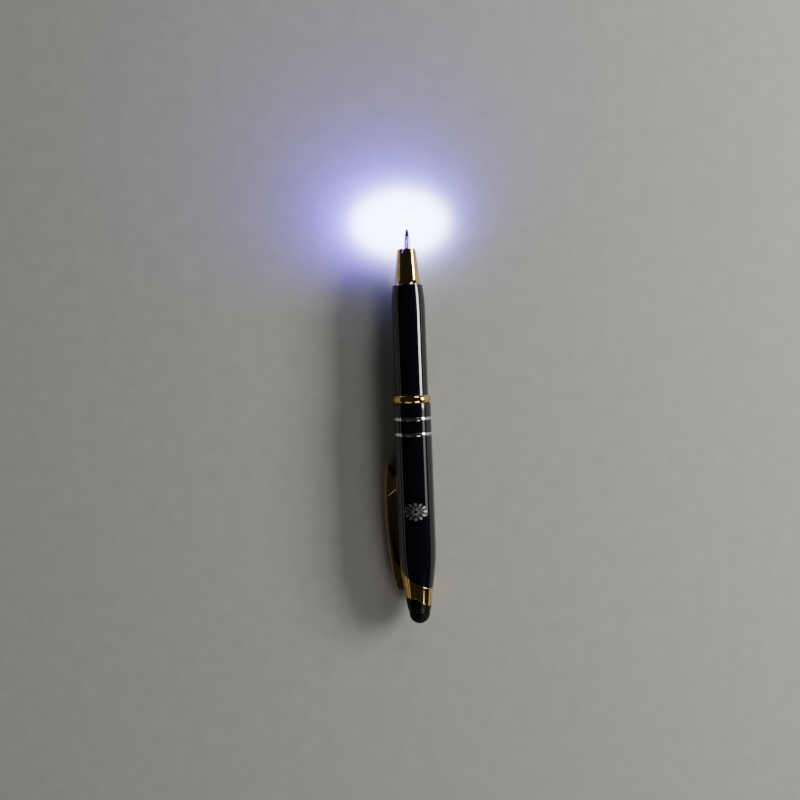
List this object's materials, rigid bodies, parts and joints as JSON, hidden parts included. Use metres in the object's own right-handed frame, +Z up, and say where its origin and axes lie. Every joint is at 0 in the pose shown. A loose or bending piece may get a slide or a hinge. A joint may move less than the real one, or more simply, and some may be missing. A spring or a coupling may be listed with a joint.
{
  "type": "counterfeit detector pen",
  "caption": "Twist-action ballpoint pen with an ultraviolet note-checking lamp in the nose, a pocket clip and a rubber stylus on the rear end.",
  "frame": {"origin": "middle of the footprint of the lying pen, on the table", "axes": "+Y along the pen toward the writing tip, +Z up from the table, the clip on the -X side leaning down to the table"},
  "size_m": [0.0174, 0.138, 0.0135],
  "materials": {
    "gold_plate": "polished gold plate",
    "black_lacquer": "glossy black lacquer",
    "chrome_trim": "polished",
    "clear_acrylic": "clear, polished",
    "lamp_epoxy": "clear epoxy, lit violet",
    "tinned_wire": "tinned",
    "board_green": "solder mask",
    "chip_ceramic": "smooth",
    "white_plastic": "moulded",
    "black_plastic": "moulded",
    "satin_black": "fine satin",
    "raw_brass": "turned",
    "nickel_silver": "bright",
    "refill_steel": "drawn tube",
    "carbide": "ground",
    "spring_steel": "drawn wire",
    "ink": "wet",
    "grease": "clear grease",
    "nitrile": "moulded",
    "cell_steel": "nickel plated",
    "silicone": "soft matte"
  },
  "bodies": {
    "lower": {"nose_cone": "gold_plate", "light_guide": "clear_acrylic", "uv_lamp": "lamp_epoxy", "lamp_leads": "tinned_wire", "lamp_board": "board_green", "lamp_resistor": "chip_ceramic", "lower_barrel": "black_lacquer", "centre_ring": "gold_plate", "lower_liner": "white_plastic", "guide_sleeve": "raw_brass", "contact_strips": "nickel_silver", "contact_disc": "board_green"},
    "refill": {"writing_ball": "carbide", "refill_tip": "nickel_silver", "refill_tube": "refill_steel", "refill_ink": "ink", "ink_follower": "grease", "refill_carrier": "black_plastic", "cam_pin": "spring_steel", "return_spring": "spring_steel"},
    "rotor": {"rotor_tube": "raw_brass", "rotor_coupler": "raw_brass", "friction_ring": "nitrile", "snap_ring": "spring_steel"},
    "upper": {"upper_barrel": "black_lacquer", "trim_ring_front": "chrome_trim", "trim_ring_rear": "chrome_trim", "rotor_bush": "black_plastic", "battery_tray": "black_plastic", "contact_holder": "black_plastic", "contact_wiper": "nickel_silver", "button_cell_front": "cell_steel", "button_cell_middle": "cell_steel", "button_cell_rear": "cell_steel", "battery_spring": "spring_steel", "end_cap": "gold_plate", "stylus_collar": "satin_black", "stylus_core": "raw_brass", "stylus_dome": "silicone"},
    "clip": {"clip": "gold_plate"}
  },
  "joints": [
    {"name": "upper_twist", "type": "hinge", "parent": "lower", "child": "rotor", "pos_m": [0.00196, 0.015, 0.00675], "axis": [0, 1, 0], "range_deg": [0, 180]},
    {"name": "refill_slide", "type": "slide", "parent": "lower", "child": "refill", "axis": [0, 1, 0], "range_m": [-0.0075, 0], "deforming": ["return_spring"]},
    {"name": "upper_pull", "type": "slide", "parent": "rotor", "child": "upper", "axis": [0, -1, 0], "range_m": [0, 0.03]},
    {"name": "clip_hinge", "type": "hinge", "parent": "upper", "child": "clip", "pos_m": [-0.00221, -0.055, 0.00458], "axis": [-0.4617, 0, 0.887], "range_deg": [0, 5], "stiffness_Nm_per_rad": 1.5}
  ],
  "couplings": [
    {"joint": "refill_slide", "follows": "upper_twist", "m_per_rad": -0.0023873}
  ]
}
